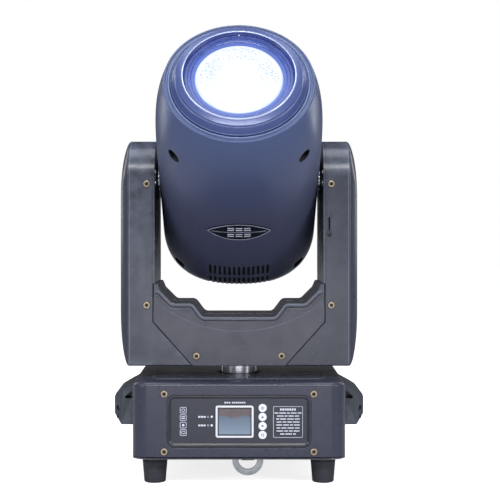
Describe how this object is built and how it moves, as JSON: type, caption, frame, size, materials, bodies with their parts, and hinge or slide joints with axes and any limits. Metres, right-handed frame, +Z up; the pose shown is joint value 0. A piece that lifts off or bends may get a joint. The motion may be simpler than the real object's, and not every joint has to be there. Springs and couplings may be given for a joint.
{
  "type": "moving head light",
  "caption": "Stage spotlight with a tapered round head that tilts in a two-armed yoke, on a box base with a display panel, side handles, feet and a safety ring.",
  "frame": {"origin": "centre of the four bracket holes in the underside of the base, on the pan axis", "axes": "+Z up along the pan axis, +X along the tilt axis at rest, -Y towards the control panel"},
  "size_m": [0.354, 0.3992, 0.6292],
  "materials": {
    "black_abs": "fine texture",
    "head_abs": "satin",
    "base_abs": "fine texture",
    "panel_film": "satin film",
    "white_print": "satin",
    "screen": "polished",
    "light_pipe": "satin",
    "button_white": "satin",
    "blue_plastic": "satin",
    "dark_plastic": "fine texture",
    "foot_rubber": "matt",
    "bronze_screw": "satin",
    "painted_steel": "satin powder coat",
    "plated_steel": "zinc plated",
    "circuit_board": "satin",
    "turned_steel": "polished",
    "cast_aluminium": "satin",
    "lens_glass": "polished",
    "copper_block": "satin",
    "badge_black": "gloss",
    "nose_paint": "satin",
    "belt_rubber": "matt"
  },
  "bodies": {
    "base": {"bottom_plate": "painted_steel", "base_shell": "base_abs", "front_panel": "panel_film", "display_screen": "screen", "display_frame": "white_print", "status_lights": "light_pipe", "rear_panel": "panel_film", "power_sockets": "blue_plastic", "data_sockets": "dark_plastic", "left_handle": "base_abs", "right_handle": "base_abs", "feet": "foot_rubber", "base_screws": "bronze_screw", "ring_saddle": "painted_steel", "power_supply": "plated_steel", "control_boards": "circuit_board", "pan_spindle": "turned_steel", "pan_pulley": "cast_aluminium"},
    "ring": {"safety_ring": "plated_steel"},
    "button_menu": {"menu_button": "button_white"},
    "button_up": {"up_button": "button_white"},
    "button_down": {"down_button": "button_white"},
    "button_enter": {"enter_button": "button_white"},
    "yoke": {"yoke_frame": "plated_steel", "left_arm_housing": "black_abs", "right_arm_housing": "black_abs", "left_arm_cover": "black_abs", "right_arm_cover": "black_abs", "crossbar_front_cover": "black_abs", "crossbar_rear_cover": "black_abs", "pan_bearing": "turned_steel", "drive_motors": "dark_plastic", "tilt_bearings": "turned_steel", "pan_belt": "belt_rubber", "tilt_belt": "belt_rubber", "yoke_screws": "bronze_screw"},
    "pan_drive": {"pan_motor_pulley": "cast_aluminium"},
    "tilt_drive": {"tilt_motor_pulley": "cast_aluminium"},
    "lock": {"tilt_lock": "dark_plastic"},
    "head": {"head_front_shell": "head_abs", "head_rear_shell": "head_abs", "rear_grille": "dark_plastic", "nose_ring": "nose_paint", "front_lens": "lens_glass", "head_chassis": "plated_steel", "guide_rods": "turned_steel", "tilt_axles": "turned_steel", "tilt_pulley": "cast_aluminium", "led_engine": "copper_block", "heat_sink": "cast_aluminium", "fan_frame": "dark_plastic", "badge": "badge_black", "head_screws": "dark_plastic", "wheel_motors": "dark_plastic"},
    "fan": {"fan_rotor": "dark_plastic"},
    "colors": {"color_wheel": "plated_steel"},
    "gobos": {"gobo_wheel": "cast_aluminium"},
    "prism": {"prism_arm": "dark_plastic"},
    "focus": {"focus_carriage": "dark_plastic"},
    "zoom": {"zoom_carriage": "dark_plastic"}
  },
  "joints": [
    {"name": "yoke_pan", "type": "hinge", "parent": "base", "child": "yoke", "pos_m": [0, 0, 0.125], "axis": [0, 0, 1], "range_deg": [-270, 270]},
    {"name": "head_tilt", "type": "hinge", "parent": "yoke", "child": "head", "pos_m": [0, 0, 0.388], "axis": [1, 0, 0], "range_deg": [-181.5, 68.5]},
    {"name": "pan_motor_spin", "type": "hinge", "parent": "yoke", "child": "pan_drive", "pos_m": [-0.088, 0, 0.154], "axis": [0, 0, 1], "range_deg": [-1350, 1350]},
    {"name": "tilt_motor_spin", "type": "hinge", "parent": "yoke", "child": "tilt_drive", "pos_m": [0.149, 0, 0.25], "axis": [1, 0, 0], "range_deg": [-907.5, 342.5]},
    {"name": "ring_swing", "type": "hinge", "parent": "base", "child": "ring", "pos_m": [0.0125, -0.055, -0.006], "axis": [1, 0, 0], "range_deg": [-75, 75]},
    {"name": "menu_press", "type": "slide", "parent": "base", "child": "button_menu", "axis": [0, 1, 0], "range_m": [0, 0.0008], "stiffness_N_per_m": 600},
    {"name": "up_press", "type": "slide", "parent": "base", "child": "button_up", "axis": [0, 1, 0], "range_m": [0, 0.0008], "stiffness_N_per_m": 600},
    {"name": "down_press", "type": "slide", "parent": "base", "child": "button_down", "axis": [0, 1, 0], "range_m": [0, 0.0008], "stiffness_N_per_m": 600},
    {"name": "enter_press", "type": "slide", "parent": "base", "child": "button_enter", "axis": [0, 1, 0], "range_m": [0, 0.0008], "stiffness_N_per_m": 600},
    {"name": "tilt_lock_slide", "type": "slide", "parent": "yoke", "child": "lock", "axis": [0, 0, 1], "range_m": [0, 0.018]},
    {"name": "fan_spin", "type": "hinge", "parent": "head", "child": "fan", "pos_m": [0, 0.0959, 0.32453], "axis": [0, -0.8339, 0.5519], "continuous": true},
    {"name": "color_wheel_spin", "type": "hinge", "parent": "head", "child": "colors", "pos_m": [0, -0.02484, 0.35047], "axis": [0, -0.8339, 0.5519], "continuous": true},
    {"name": "gobo_wheel_spin", "type": "hinge", "parent": "head", "child": "gobos", "pos_m": [0, 0.01817, 0.42994], "axis": [0, -0.8339, 0.5519], "continuous": true},
    {"name": "prism_swing", "type": "hinge", "parent": "head", "child": "prism", "pos_m": [-0.05, -0.07596, 0.37832], "axis": [0, -0.8339, 0.5519], "range_deg": [0, 55]},
    {"name": "focus_slide", "type": "slide", "parent": "head", "child": "focus", "axis": [0, -0.8339, 0.5519], "range_m": [-0.01, 0.016]},
    {"name": "zoom_slide", "type": "slide", "parent": "head", "child": "zoom", "axis": [0, -0.8339, 0.5519], "range_m": [-0.018, 0.044]}
  ],
  "couplings": [
    {"joint": "pan_motor_spin", "follows": "yoke_pan", "ratio": -5},
    {"joint": "tilt_motor_spin", "follows": "head_tilt", "ratio": 5}
  ]
}
